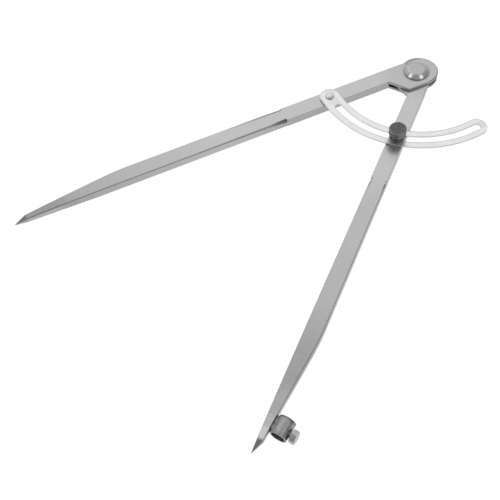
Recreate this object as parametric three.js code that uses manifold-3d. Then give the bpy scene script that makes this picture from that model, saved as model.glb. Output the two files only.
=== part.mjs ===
// A carpenter's compass with a slotted quadrant arc, a thumb screw and a pencil ring.
// Millimetres, +Z up. The origin is the centre of the pivot rivet's flat lower end.
// The pencil leg runs along -Y. The needle leg is opened from it, clockwise seen from above.
// In a leg's own frame the pivot axis is at zero, "along" is the distance from it towards the point,
// and "out" is the distance from the line where the two closed legs meet.
import * as THREE from "three";
import { mergeVertices } from "three/addons/utils/BufferGeometryUtils.js";
import Module from "manifold-3d";

const wasm = await Module();
wasm.setup();

// Opening
const rest_opening_deg = 43.1; // angle between the legs as photographed
const largest_opening_deg = 92; // angle at which the screw reaches the end of the slot

// Legs
const leg_length = 300; // pivot axis to point
const leg_width = 11;
const forked_inner_extra = 0.3; // the forked leg is this much wider inside than the other one
const forked_outer_extra = 0.75; // and this much outside
const leg_thick = 6.3;
const closed_gap = 0.9; // between the inner faces of the closed legs
const edge_break = 0.15; // the bar's small edge, above the notch

// The chamfers that are ground from the notch to the point
const notch_along = 102.3; // from the pivot axis to the notch
const notch_run = 0.3; // length over which the chamfers begin
const inner_chamfer_width = 1; // top inner edge, at the notch
const inner_chamfer_depth = 1.2;
const outer_chamfer_width = 0.6; // top outer edge, at the notch
const outer_chamfer_depth = 0.7;
const fine_chamfer = 0.55; // both top edges once the chamfers have faded
const inner_fade_length = 80; // from the notch to where the inner one has faded
const outer_fade_length = 25;
const notch_width = 0.7; // the inner chamfer's extra size at the notch
const notch_depth = 1.15;
const notch_length = 14; // length over which the extra size fades
const outer_notch_share = 0.6; // the outer chamfer's extra size against the inner one's
const lower_chamfer = 0.45; // both lower edges

// The taper and the point
const point_length = 8; // ground four-sided point
const taper_length = 68; // from the bend to the point's shoulders
const bend_half_length = 9; // rounding where the straight edge turns into the taper
const shoulder_width = 3.8; // width at the point's shoulders
const thinning_length = 50; // stretch before the shoulders over which both faces close in
const lower_thinning = 1.5; // rise of the lower face at the shoulders
const upper_thinning = 1.1; // fall of the upper face there
const tip_out = 0.6; // the point's place outside the closed legs' line
const tip_flat = 0.3; // width of the blunt end

// Head: fork on the needle leg, tongue on the pencil leg
const head_radius = 13.2; // the fork's cheeks
const tongue_radius = 12.8; // round the same centre
const head_beyond = 2.6; // the round's centre lies this far past the pivot axis
const head_out = 0.4; // and this far outside the closed legs' line
const shoulder_reach = 18.5; // pivot axis to the slanted shoulder, square to it
const shoulder_slant_deg = 35.1;
const turning_gap = 0.25; // between a corner and the shoulder that it swings past
const cheek_thick = 2;
const tongue_gap = 0.1; // above and below the tongue
const head_root = 8; // how far the head's plates run on into the bar

// Pivot rivet and its burr
const pivot_radius = 4; // shank
const pivot_head_radius = 8.8;
const pivot_head_flat_radius = 5.6;
const pivot_head_height = 2.9;
const pivot_head_rim = 0.35; // upright rim at the foot of the cone
const burr_radius = 7.5;
const burr_flat_radius = 6.3;
const burr_height = 2; // the legs' lower faces stand this high over the origin
const fit_gap = 0.1; // radial gap round shanks
const seat_gap = 0.05; // between stacked faces

// Quadrant arc
const arc_radius = 65.6; // middle of the slot, from the pivot axis
const arc_width = 14;
const arc_thick = 1;
const arc_lift = 0.3; // between the legs' upper faces and the arc
const slot_width = 5.1;
const arc_rivet_deg = 5.1; // the rivet's bearing outside the needle leg's inner line
const arc_rivet_out = 1.2; // the riveted end lies this far outside the slot's circle
const arc_rivet_lead_deg = 20; // turn over which it comes in to the circle
const screw_out = 6; // the thumb screw's place outside the pencil leg's inner line

// Arc rivet
const arc_rivet_radius = 1.6;
const arc_rivet_head_radius = 3;
const arc_rivet_head_height = 1.5;

// Thumb screw and washer
const screw_radius = 2;
const screw_tail = 0.6; // the shank ends this far above the leg's lower face
const screw_neck_radius = 4.4;
const screw_head_radius = 5.9;
const screw_head_height = 5;
const screw_head_edge = 0.4; // rounded edges of the head
const screw_underhead = 0.5; // height of the slope from neck to head
const screw_over_arc = 9; // top of the head above the arc's upper face
const washer_radius = 5.05;
const washer_thick = 1;
const washer_edge = 0.25;

// Pencil ring
const ring_radius = 5.15;
const ring_bore_radius = 4.15;
const ring_length = 11.2;
const ring_to_point = 18.8; // the ring's middle to the point, along the leg
const ring_standoff = 0.5; // between the tapered edge and the ring
const ring_toe_deg = 2; // the ring leans in this much more than the taper
const braze_half_height = 2.2;
const braze_inset = 1; // the braze stops this short of the ring's ends

// Pencil clamp screw: a hexagon head on a short shank
const clamp_radius = 2;
const clamp_head_flats = 7; // across the flats
const clamp_head_thick = 3.5;
const clamp_neck = 0.8; // shank showing between ring and head
const clamp_reach = 0.95; // how far the shank stands into the bore
const clamp_offset = 1.1; // from the ring's middle towards the point

// Fineness of round stretches, and how far cutters run past what they cut
const round_steps = 64;
const fine_steps = 40;
const arc_steps = 30;
const bend_steps = 6;
const dome_steps = 6;
const hexagon_sides = 6;
const overrun = 2;

const degree = Math.PI / 180;
const leg_low = burr_height;
const leg_high = leg_low + leg_thick;
const leg_middle = leg_low + leg_thick / 2;
const arc_low = leg_high + arc_lift;
const arc_high = arc_low + arc_thick;
const inner_face = closed_gap / 2;

// A closed geometry as a solid, with its faces turned outwards.
function solid(geometry) {
  geometry.deleteAttribute("normal");
  geometry.deleteAttribute("uv");
  const merged = mergeVertices(geometry);
  const vertProperties = merged.attributes.position.array;
  const index = merged.index.array;
  const kept = [];
  for (let i = 0; i < index.length; i += 3) {
    const [a, b, c] = index.slice(i, i + 3);
    if (a !== b && b !== c && c !== a) kept.push(a, b, c);
  }
  const build = (triVerts) => new wasm.Manifold(new wasm.Mesh({ numProp: 3, vertProperties, triVerts }));
  const made = build(new Uint32Array(kept));
  return made.volume() < 0 ? build(new Uint32Array(kept.reverse())) : made;
}

// A plan outline, in x and y, raised from one height to another. A side of -1 turns it over in plan.
function plate(shape, low, high, side = 1) {
  const geometry = new THREE.ExtrudeGeometry(shape, {
    depth: high - low,
    bevelEnabled: false,
    curveSegments: arc_steps,
  });
  geometry.translate(0, 0, low);
  geometry.scale(side, 1, 1);
  return solid(geometry);
}

// A profile of [radius, height] points, from axis to axis, turned about Z.
function turned(profile, steps = round_steps) {
  const points = profile.map(([radius, height]) => new THREE.Vector2(radius, height));
  const geometry = new THREE.LatheGeometry(points, steps);
  geometry.rotateX(Math.PI / 2);
  return solid(geometry);
}

// A round bar along Z, from one height to another, moved in x and y.
function rod(radius, low, high, x = 0, y = 0, steps = fine_steps) {
  const geometry = new THREE.CylinderGeometry(radius, radius, high - low, steps);
  geometry.rotateX(Math.PI / 2);
  geometry.translate(x, y, (low + high) / 2);
  return solid(geometry);
}

// A named mesh with its own material.
function piece(name, shape, color, roughness, metalness = 1) {
  const mesh = shape.getMesh();
  const geometry = new THREE.BufferGeometry();
  geometry.setAttribute("position", new THREE.BufferAttribute(mesh.vertProperties, 3));
  geometry.setIndex(new THREE.BufferAttribute(mesh.triVerts, 1));
  geometry.computeVertexNormals();
  const made = new THREE.Mesh(geometry, new THREE.MeshStandardMaterial({ color, roughness, metalness }));
  made.name = name;
  return made;
}

// The outline of many-cornered shapes from [x, y] points.
function outline(corners) {
  return new THREE.Shape(corners.map(([x, y]) => new THREE.Vector2(x, y)));
}

// Where the taper's straight edge would meet the bar's outer edge, and its slope.
const shoulders_along = leg_length - point_length;
const bend_along = shoulders_along - taper_length;
const taper_slope = (leg_width - shoulder_width) / taper_length;
const taper_angle = Math.atan(taper_slope);

// Width of the bar at a distance from the pivot: straight, a round bend, then the taper.
function widthAt(along) {
  const past = along - (bend_along - bend_half_length);
  if (past <= 0) return leg_width;
  if (past < 2 * bend_half_length) return leg_width - (taper_slope * past * past) / (4 * bend_half_length);
  return leg_width - taper_slope * (along - bend_along);
}

// How far inside and outside a leg's faces lie, on the +X side or, with a side of -1, on the forked side.
function insideOf(side) {
  return side < 0 ? inner_face - forked_inner_extra : inner_face;
}
function outsideOf(side, along = 0) {
  const extra = side < 0 ? forked_outer_extra : 0;
  return inner_face + widthAt(along) * (1 + extra / leg_width);
}

// A value that runs evenly from one to another over a length.
function fade(from, to, along, start, length) {
  return THREE.MathUtils.lerp(from, to, THREE.MathUtils.clamp((along - start) / length, 0, 1));
}

// The eight corners of the bar's section, as [out, height].
function section(inside, outside, low, high, lower, inner, outer) {
  return [
    [inside + lower[0], low],
    [outside - lower[0], low],
    [outside, low + lower[1]],
    [outside, high - outer[1]],
    [outside - outer[0], high],
    [inside + inner[0], high],
    [inside, high - inner[1]],
    [inside, low + lower[1]],
  ];
}

// The bar's section at a distance from the pivot, with or without the ground chamfers.
function barSection(side, along, ground) {
  const thinned = fade(0, 1, along, shoulders_along - thinning_length, thinning_length);
  const low = leg_low + lower_thinning * thinned;
  const high = leg_high - upper_thinning * thinned;
  const inside = insideOf(side);
  const outside = outsideOf(side, along);
  const broken = [edge_break, edge_break];
  if (!ground) return section(inside, outside, low, high, broken, broken, broken);
  const notch = fade(1, 0, along, notch_along, notch_length);
  const outer_notch = outer_notch_share * notch;
  const inner = [
    fade(inner_chamfer_width, fine_chamfer, along, notch_along, inner_fade_length) + notch * notch_width,
    fade(inner_chamfer_depth, fine_chamfer, along, notch_along, inner_fade_length) + notch * notch_depth,
  ];
  const outer = [
    fade(outer_chamfer_width, fine_chamfer, along, notch_along, outer_fade_length) + outer_notch * notch_width,
    fade(outer_chamfer_depth, fine_chamfer, along, notch_along, outer_fade_length) + outer_notch * notch_depth,
  ];
  return section(inside, outside, low, high, [lower_chamfer, lower_chamfer], inner, outer);
}

// The small blunt end of the point.
function tipSection() {
  const half = tip_flat / 2;
  const cut = [half / 2, half / 2];
  return section(tip_out - half, tip_out + half, leg_middle - half, leg_middle + half, cut, cut, cut);
}

// A skin over sections at rising distances, closed at both ends, on one side of the legs' line.
function loft(stations, side) {
  const sides = stations[0].corners.length;
  const positions = [];
  for (const { along, corners } of stations) {
    for (const [out, height] of corners) positions.push(side * out, -along, height);
  }
  const index = [];
  for (let ring = 0; ring + 1 < stations.length; ring++) {
    for (let side = 0; side < sides; side++) {
      const a = ring * sides + side;
      const b = ring * sides + ((side + 1) % sides);
      index.push(a, b, b + sides, a, b + sides, a + sides);
    }
  }
  const last = (stations.length - 1) * sides;
  for (let side = 1; side + 1 < sides; side++) {
    index.push(0, side + 1, side, last, last + side, last + side + 1);
  }
  const geometry = new THREE.BufferGeometry();
  geometry.setAttribute("position", new THREE.Float32BufferAttribute(positions, 3));
  geometry.setIndex(index);
  return solid(geometry);
}

// The slanted shoulder's distance from the pivot, measured along the leg, at a place outwards.
const slant = shoulder_slant_deg * degree;
function shoulderAlong(out) {
  return (shoulder_reach - out * Math.sin(slant)) / Math.cos(slant);
}

// The bar from its shoulder to its point, on the +X side or, with a side of -1, on the other.
function bar(side) {
  const stations = [{ along: 0, corners: barSection(side, 0, false) }];
  stations.push({ along: notch_along, corners: barSection(side, notch_along, false) });
  const runs = [notch_run, notch_length, outer_fade_length, inner_fade_length];
  const ground = runs.map((run) => notch_along + run);
  for (let step = 0; step <= bend_steps; step++) {
    ground.push(bend_along + bend_half_length * ((2 * step) / bend_steps - 1));
  }
  ground.push(shoulders_along - thinning_length, shoulders_along);
  ground.sort((a, b) => a - b);
  for (const along of ground) stations.push({ along, corners: barSection(side, along, true) });
  stations.push({ along: leg_length, corners: tipSection() });
  const before = insideOf(side) - overrun;
  const after = outsideOf(side) + overrun;
  const headSide = outline([
    [before, overrun],
    [after, overrun],
    [after, -shoulderAlong(after)],
    [before, -shoulderAlong(before)],
  ]);
  return loft(stations, side).subtract(plate(headSide, leg_low - overrun, leg_high + overrun, side));
}

// One plate of a head: the round, a straight inner side, a corner that just clears the other leg's
// shoulder, a slanted edge back to the bar, and a root that runs on into the bar.
function headPlate(radius, low, high, side) {
  const inner_side = head_out - radius;
  const inside = insideOf(side);
  const outside = outsideOf(side);
  const corner_reach = shoulder_reach - turning_gap;
  const corner_along = Math.sqrt(corner_reach ** 2 - inner_side ** 2);
  const heel_along = corner_along + (inside - inner_side) * Math.tan(slant);
  const join_angle = Math.acos((outside - head_out) / radius);
  const shape = new THREE.Shape();
  shape.moveTo(inner_side, -corner_along);
  shape.lineTo(inside, -heel_along);
  shape.lineTo(inside, -heel_along - head_root);
  shape.lineTo(outside, -heel_along - head_root);
  shape.lineTo(outside, head_beyond - radius * Math.sin(join_angle));
  shape.absarc(head_out, head_beyond, radius, -join_angle, Math.PI, false);
  shape.closePath();
  return plate(shape, low, high, side);
}

// The fork's two cheeks and the slot between them share the leg's thickness.
const lower_cheek_top = leg_low + cheek_thick;
const upper_cheek_low = leg_high - cheek_thick;

// A hole right through a leg.
function throughHole(radius, x = 0, y = 0) {
  return rod(radius, leg_low - overrun, leg_high + overrun, x, y);
}

const pivot_hole = throughHole(pivot_radius + fit_gap);

// The thumb screw sits on the middle line of the slot, and the arc rivet a little outside it.
const arc_rivet_reach = arc_radius + arc_rivet_out;
const arc_rivet_x = -arc_rivet_reach * Math.sin(arc_rivet_deg * degree);
const arc_rivet_y = -arc_rivet_reach * Math.cos(arc_rivet_deg * degree);
const screw_bearing = Math.asin(screw_out / arc_radius);
const screw_y = -arc_radius * Math.cos(screw_bearing);

// The needle leg has its body on the -X side of its own frame.
function needleLeg() {
  const lower_cheek = headPlate(head_radius, leg_low, lower_cheek_top, -1);
  const cheeks = lower_cheek.add(headPlate(head_radius, upper_cheek_low, leg_high, -1));
  const rivet_hole = throughHole(arc_rivet_radius + fit_gap, arc_rivet_x, arc_rivet_y);
  return bar(-1).add(cheeks).subtract(pivot_hole).subtract(rivet_hole);
}

function pencilLeg() {
  const tongue_low = lower_cheek_top + tongue_gap;
  const tongue = headPlate(tongue_radius, tongue_low, upper_cheek_low - tongue_gap, 1);
  const screw_hole = throughHole(screw_radius + fit_gap, screw_out, screw_y);
  return bar(1).add(tongue).subtract(pivot_hole).subtract(screw_hole);
}

function pivotRivet() {
  const foot = leg_high + seat_gap;
  return turned([
    [0, 0],
    [pivot_radius, 0],
    [pivot_radius, foot],
    [pivot_head_radius, foot],
    [pivot_head_radius, foot + pivot_head_rim],
    [pivot_head_flat_radius, foot + pivot_head_height],
    [0, foot + pivot_head_height],
  ]);
}

function rivetBurr() {
  const bore = pivot_radius + fit_gap;
  return turned([
    [bore, 0],
    [burr_flat_radius, 0],
    [burr_radius, burr_radius - burr_flat_radius],
    [burr_radius, burr_height - seat_gap],
    [bore, burr_height - seat_gap],
    [bore, 0],
  ]);
}

// A round-ended band about the pivot axis, between two bearings in degrees from -Y. Its start can lie
// outside the circle by a distance that fades over the lead.
function band(width, from_deg, to_deg, start_out = 0) {
  const lead_share = arc_rivet_lead_deg / (to_deg - from_deg);
  const beside = (share, beyond_deg) => {
    const turn = (THREE.MathUtils.lerp(from_deg, to_deg, share) - 90) * degree;
    const reach = arc_radius + start_out * Math.max(1 - share / lead_share, 0) ** 2;
    const way = turn + beyond_deg * degree;
    const half = width / 2;
    return [reach * Math.cos(turn) + half * Math.cos(way), reach * Math.sin(turn) + half * Math.sin(way)];
  };
  const corners = [];
  for (let step = 0; step < arc_steps; step++) corners.push(beside(step / arc_steps, 0));
  for (let step = 0; step < arc_steps; step++) corners.push(beside(1, (180 * step) / arc_steps));
  for (let step = 0; step < arc_steps; step++) corners.push(beside(1 - step / arc_steps, 180));
  for (let step = 0; step < arc_steps; step++) corners.push(beside(0, 180 + (180 * step) / arc_steps));
  return outline(corners);
}

// The arc in the needle leg's frame, where that leg is along -Y with its body on the -X side.
// The slot runs from the screw's place on the closed compass to its place at the largest opening.
function quadrantArc() {
  const slot_start = screw_bearing / degree;
  const slot_end = slot_start + largest_opening_deg;
  const sheet = plate(band(arc_width, -arc_rivet_deg, slot_end, arc_rivet_out), arc_low, arc_high);
  const slot = plate(band(slot_width, slot_start, slot_end), arc_low - overrun, arc_high + overrun);
  const hole_radius = arc_rivet_radius + fit_gap;
  const hole = rod(hole_radius, arc_low - overrun, arc_high + overrun, arc_rivet_x, arc_rivet_y);
  return sheet.subtract(slot).subtract(hole);
}

// A domed head over a shank that ends flush with the leg's lower face.
function arcRivet() {
  const foot = arc_high + seat_gap;
  const profile = [
    [0, leg_low],
    [arc_rivet_radius, leg_low],
    [arc_rivet_radius, foot],
  ];
  for (let step = 0; step <= dome_steps; step++) {
    const turn = (step / dome_steps) * (Math.PI / 2);
    profile.push([arc_rivet_head_radius * Math.cos(turn), foot + arc_rivet_head_height * Math.sin(turn)]);
  }
  profile[profile.length - 1][0] = 0;
  return turned(profile, fine_steps);
}

function clampWasher() {
  const low = arc_high + seat_gap;
  const high = low + washer_thick;
  const bore = screw_radius + fit_gap;
  const profile = [
    [bore, low],
    [washer_radius, low],
    [washer_radius, high - washer_edge],
    [washer_radius - washer_edge, high],
    [bore, high],
    [bore, low],
  ];
  return turned(profile);
}

function thumbScrew() {
  const neck_low = arc_high + washer_thick + 2 * seat_gap;
  const top = arc_high + screw_over_arc;
  const head_low = top - screw_head_height;
  const profile = [
    [0, leg_low + screw_tail],
    [screw_radius, leg_low + screw_tail],
    [screw_radius, neck_low],
    [screw_neck_radius, neck_low],
    [screw_neck_radius, head_low - screw_underhead],
    [screw_head_radius - screw_head_edge, head_low],
    [screw_head_radius, head_low + screw_head_edge],
    [screw_head_radius, top - screw_head_edge],
    [screw_head_radius - screw_head_edge, top],
    [0, top],
  ];
  return turned(profile);
}

// The ring's own frame: its axis is along Y with the pivot at +Y, +X points away from the leg, and
// the middle of the leg's thickness is at height zero.
const ring_along = leg_length - ring_to_point;
const ring_angle = -(taper_angle + ring_toe_deg * degree);
const ring_offset = (ring_radius + ring_standoff) / Math.cos(taper_angle);
const ring_x = inner_face + widthAt(ring_along) + ring_offset;

// A round bar along the ring's axis.
function alongRing(radius, half_length) {
  const geometry = new THREE.CylinderGeometry(radius, radius, 2 * half_length, round_steps);
  return solid(geometry);
}

// A bar square to the ring's axis, from one distance to another.
function acrossRing(radius, from, to, steps = fine_steps) {
  const geometry = new THREE.CylinderGeometry(radius, radius, to - from, steps);
  geometry.rotateZ(-Math.PI / 2);
  geometry.translate((from + to) / 2, -clamp_offset, 0);
  return solid(geometry);
}

// The braze that joins ring and leg fills the space between the tapered edge and the tube.
// Seen from the ring, that edge leans by the toe angle and lies a standoff from the tube's middle.
function braze() {
  const half = ring_length / 2 - braze_inset;
  const toe = ring_toe_deg * degree;
  const edge = (y) => (fit_gap - ring_radius - ring_standoff) / Math.cos(toe) - y * Math.tan(toe);
  const shape = outline([
    [edge(-half), -half],
    [0, -half],
    [0, half],
    [edge(half), half],
  ]);
  return plate(shape, -braze_half_height, braze_half_height);
}

function pencilRing() {
  const half = ring_length / 2;
  const screw_hole = acrossRing(clamp_radius + fit_gap, 0, ring_radius + overrun);
  const tube = alongRing(ring_radius, half).add(braze());
  return tube.subtract(alongRing(ring_bore_radius, half + overrun)).subtract(screw_hole);
}

// A hexagon head with two corners up and down, and two upright flats, on a short shank.
function pencilClampScrew() {
  const head_low = ring_radius + clamp_neck;
  const head_high = head_low + clamp_head_thick;
  const corner_radius = clamp_head_flats / 2 / Math.cos(Math.PI / hexagon_sides);
  const head = acrossRing(corner_radius, head_low, head_high, hexagon_sides);
  return head.add(acrossRing(clamp_radius, ring_bore_radius - clamp_reach, head_low + overrun / 2));
}

const compass = new THREE.Group();

// What turns with the needle leg.
const needle_side = new THREE.Group();
needle_side.rotation.z = -rest_opening_deg * degree;
const arc_rivet = piece("arc_rivet", arcRivet(), "#d8d8d6", 0.35);
arc_rivet.position.set(arc_rivet_x, arc_rivet_y, 0);
needle_side.add(
  piece("needle_leg", needleLeg(), "#b9b9b8", 0.38),
  piece("quadrant_arc", quadrantArc(), "#e4e4e2", 0.5),
  arc_rivet,
);

// What sits on the pencil leg.
const clamp = new THREE.Group();
clamp.position.set(screw_out, screw_y, 0);
clamp.add(
  piece("clamp_washer", clampWasher(), "#55565a", 0.5),
  piece("thumb_screw", thumbScrew(), "#4a4b4e", 0.55),
);
const holder = new THREE.Group();
holder.position.set(ring_x, -ring_along, leg_middle);
holder.rotation.z = ring_angle;
holder.add(
  piece("pencil_ring", pencilRing(), "#8f8f8e", 0.4),
  piece("pencil_clamp_screw", pencilClampScrew(), "#a2a2a0", 0.35),
);

compass.add(
  needle_side,
  piece("pivot_rivet", pivotRivet(), "#b6b6b5", 0.25),
  piece("rivet_burr", rivetBurr(), "#b6b6b5", 0.3),
  piece("pencil_leg", pencilLeg(), "#b9b9b8", 0.38),
  clamp,
  holder,
);

export default compass;
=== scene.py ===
"""The carpenter's compass, dressed on its fixed frame: ground legs, riveted head, slotted arc, thumb screw,
pencil ring and clamp screw. Sizes and places are in millimetres, and go into meshes and nodes in metres.

A leg's own frame has its zero on the pivot axis. "Out" is the distance outwards from the line where the two
closed legs meet, and "along" is the distance from the pivot towards the point.
"""

import math

import bmesh
import bpy
import numpy as np
from mathutils import Matrix, Vector


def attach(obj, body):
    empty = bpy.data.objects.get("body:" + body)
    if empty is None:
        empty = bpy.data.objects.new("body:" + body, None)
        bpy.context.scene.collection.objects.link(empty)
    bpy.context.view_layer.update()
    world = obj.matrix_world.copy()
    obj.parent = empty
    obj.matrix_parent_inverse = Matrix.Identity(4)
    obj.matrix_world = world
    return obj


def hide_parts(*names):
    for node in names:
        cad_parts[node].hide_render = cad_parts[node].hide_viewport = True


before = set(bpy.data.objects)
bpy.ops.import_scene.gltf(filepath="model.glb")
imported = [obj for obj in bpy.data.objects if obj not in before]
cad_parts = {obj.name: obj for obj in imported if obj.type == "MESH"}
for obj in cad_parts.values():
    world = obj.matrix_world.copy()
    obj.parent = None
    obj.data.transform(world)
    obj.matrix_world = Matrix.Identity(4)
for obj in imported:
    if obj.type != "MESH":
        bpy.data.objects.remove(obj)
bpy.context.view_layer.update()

MM = 0.001
DEG = math.pi / 180

# Legs. A chamfer is (width, depth), and an extra is (inside, outside).
OPENING = 43.1
LEG_LENGTH = 300.0
LEG_WIDTH = 11.0
LEG_LOW = 2.0
LEG_HIGH = 8.3
LEG_MIDDLE = (LEG_LOW + LEG_HIGH) / 2
INNER_FACE = 0.45
FORKED_EXTRA = (0.3, 0.75)
EDGE_BREAK = 0.2
SOFT = 0.07
NOTCH = 102.3
INNER_CHAMFER = (1.0, 1.2)
OUTER_CHAMFER = (0.6, 0.7)
FINE_CHAMFER = 0.55
INNER_FADE = 80.0
OUTER_FADE = 25.0
NOTCH_EXTRA = (0.7, 1.15)
NOTCH_LENGTH = 14.0
OUTER_NOTCH_SHARE = 0.6
LOWER_CHAMFER = 0.45
SHOULDERS = 292.0
TAPER_LENGTH = 68.0
BEND = SHOULDERS - TAPER_LENGTH
BEND_HALF = 9.0
SHOULDER_WIDTH = 3.8
TAPER_SLOPE = (LEG_WIDTH - SHOULDER_WIDTH) / TAPER_LENGTH
TIP_OUT = 0.6
TIP_FLAT = 0.3
TIP_STEPS = 7

# How far the faces close in towards the point, as (places along, distances)
TOP_FALL = (242.0, 271.0, SHOULDERS), (0.0, 0.45, 1.1)
LOW_RISE = (242.0, SHOULDERS), (0.0, 1.5)

# The stations along the bar, as (from, to, how many)
STATIONS = (
    (30.0, NOTCH - 3.0, 10),
    (NOTCH, NOTCH + 0.3, 2),
    (NOTCH + 1.7, NOTCH + NOTCH_LENGTH, 9),
    (NOTCH + NOTCH_LENGTH + 3.0, BEND - BEND_HALF, 27),
    (BEND - BEND_HALF, BEND + BEND_HALF, 9),
    (BEND + BEND_HALF, SHOULDERS, 18),
)

# Head. Its round has its middle at that distance out and beyond the pivot, and its rim is (width, depth).
ROUND_OUT = 0.4
ROUND_BEYOND = 2.6
CHEEK_RADIUS = 13.2
TONGUE_RADIUS = 12.8
CORNER_REACH = 18.25
SHOULDER_REACH = 18.5
SLANT = 35.1 * DEG
CHEEK = 2.0
HEAD_RIM = (0.6, 0.45)
HEAD_RIM_RUN = (2.0, 16.0)
QUARTER_STEPS = 29
ROUND_STEPS = 37
EDGE_STEPS = 9
MITRE_LIMIT = 0.4
SPLIT_RUN = (30.0, 60.0)
SPLIT_CLOSED_SHARE = 0.4
TONGUE_GAP = 0.1
TONGUE_INSET = 0.5
TONGUE_SKIN = 0.02
TONGUE_ENDS = (28.0, 26.0)

# Pivot rivet and burr. Roundings go with the corners of a profile, one by one. Rivets and washer stand off by
# the seat.
SEAT = 0.05
PIVOT_RADIUS = 4.0
CONE_RADIUS = 8.8
CONE_RIM = 0.45
CONE_TOP_RADIUS = 5.7
CONE_HEIGHT = 2.9
DISH_RADIUS = 4.2
DISH = 0.12
CONE_ROUNDINGS = (0, 0.3, 0, 0.12, 0.35, 1.1, 0.2, 0)
BURR_BORE = 4.1
BURR_FLAT = 6.3
BURR_RADIUS = 7.5
BURR_BEVEL = 1.2
BURR_ROUNDINGS = (0, 0.3, 0.3, 0.2, 0, 0)
ROUND_COLUMNS = 96

# Arc and its rivet
ARC_RADIUS = 65.6
ARC_WIDTH = 14.0
ARC_LOW = 8.6
ARC_HIGH = 9.6
ARC_EDGE = 0.14
SLOT_WIDTH = 5.1
RIVET_BEARING = 5.1
RIVET_SHIFT = 1.2
RIVET_LEAD = 20.0
RIVET_RADIUS = 1.6
DOME_RADIUS = 3.0
DOME_WALL = 0.12
DOME_RISE = 1.38
DOME_TURN = 1.32
DOME_TOP = 1.48
DOME_COLUMNS = 64
LARGEST_OPENING = 92.0

# Thumb screw and washer. A bevel is (inwards, along the axis). The knurl's ends are (above the head's foot,
# below its top), and its rows are these two and how many.
M4_RADIUS = 2.0
M4_PITCH = 0.7
SCREW_OUT = 6.0
SCREW_BEARING = math.asin(SCREW_OUT / ARC_RADIUS) / DEG
SCREW_Y = -ARC_RADIUS * math.cos(SCREW_BEARING * DEG)
SCREW_TOP = ARC_HIGH + 9.0
SCREW_HEAD = 5.0
SCREW_END = LEG_LOW + 0.6
SCREW_CHAMFER = 0.3
SCREW_THREAD = 0.4
HEAD_RADIUS = 5.9
NECK_RADIUS = 4.4
NECK_SLOPE = 0.5
FOOT_BEVEL = 0.4
TOP_BEVEL = (0.55, 0.5)
TOP_RIM = 1.25
TOP_SINK = 0.12
HEAD_ROUNDINGS = (0, 0.15, 0.4, 0.2, 0.15, 0.25, 0.3, 0.3, 0)
TEETH = 56
TOOTH_STEPS = 6
KNURL_DEPTH = 0.16
KNURL_ENDS = (0.35, 0.4)
KNURL_FADE = 0.3
KNURL_SKIN = 0.25
KNURL_ROWS = (0.7, 0.75, 6)
THREAD_STEPS = 70
WASHER_RADIUS = 5.05
WASHER_BORE = 2.1
WASHER_THICKNESS = 1.0
WASHER_ROUNDINGS = (0, 0.15, 0.35, 0, 0)

# Ring, braze and clamp screw, whose chamfer is (inwards, along the axis)
RING_RADIUS = 5.15
BORE_RADIUS = 4.15
RING_LENGTH = 11.2
RING_ALONG = LEG_LENGTH - 18.8
RING_TOE = 2.0
RING_ROUNDINGS = (0, 0.35, 0.35, 0.3, 0)
STANDOFF = 0.5
BRAZE_BEHIND = 0.1
BRAZE_FRONT = 3.9
BRAZE_SHORT = 0.5
BRAZE_HALF = 2.75
BRAZE_HOLLOW = 0.5
BRAZE_CREEP = 0.62
BRAZE_WAVES = (0.06, 7, 0), (0.04, 17, 1)
BRAZE_END_POWER = 6
CLAMP_OFFSET = 1.1
CLAMP_NECK = 0.8
CLAMP_HEAD = 3.5
CLAMP_FLATS = 7.0
CLAMP_REACH = 0.95
CLAMP_CHAMFER = (0.4, 0.2)
CLAMP_THREAD = 0.35
CLAMP_STEPS = 60
CLAMP_COLUMNS = 120

# The clamp head's turned-off corners, as (inset, distance from the end), at its foot and at its top
HEX_RADIUS = 4.15
HEX_FOOT = (0.75, 0.0), (0.4, 0.12), (0.0, 0.3)
HEX_TOP = (0.0, 0.45), (0.35, 0.18), (0.95, 0.0)

# Meshes, with the merging distances in metres and the creases in degrees
MERGED = 2e-7
SLIVER = 1e-7
CREASE = 24
FORGED_CREASE = 11


def in_scene(name, data):
    """A new object of a mesh, lamp or camera, linked to the scene."""
    made = bpy.data.objects.new(name, data)
    bpy.context.scene.collection.objects.link(made)
    return made


def make_piece(name, points, quads, place, crease):
    """A mesh object from points in millimetres, moved to its place, merged, with all faces turned outwards.
    Edges that turn by more than the crease, in degrees, are kept sharp."""
    points = np.asarray(points, float).reshape(-1, 3)
    if place is not None:
        points = points @ place[:3, :3].T + place[:3, 3]
    mesh = bpy.data.meshes.new(name)
    mesh.from_pydata((points * MM).tolist(), [], [list(map(int, q)) for q in quads])
    work = bmesh.new()
    work.from_mesh(mesh)
    bmesh.ops.remove_doubles(work, verts=work.verts, dist=MERGED)
    bmesh.ops.dissolve_degenerate(work, edges=work.edges, dist=SLIVER)
    bmesh.ops.recalc_face_normals(work, faces=work.faces)
    work.to_mesh(mesh)
    work.free()
    mesh.polygons.foreach_set("use_smooth", np.ones(len(mesh.polygons), bool))
    mesh.set_sharp_from_angle(angle=crease * DEG)
    return in_scene(name, mesh)


def grid_quads(rows, columns, wrap_rows=False, wrap_columns=False, start=0):
    """Four-cornered faces between neighbours of a grid of points, as rows of indices."""
    r = np.arange(rows if wrap_rows else rows - 1)[:, None]
    c = np.arange(columns if wrap_columns else columns - 1)[None, :]
    r2 = (r + 1) % rows
    c2 = (c + 1) % columns
    quads = np.stack(
        [r * columns + c, r * columns + c2, r2 * columns + c2, r2 * columns + c], -1
    )
    return (quads + start).reshape(-1, 4)


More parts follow.
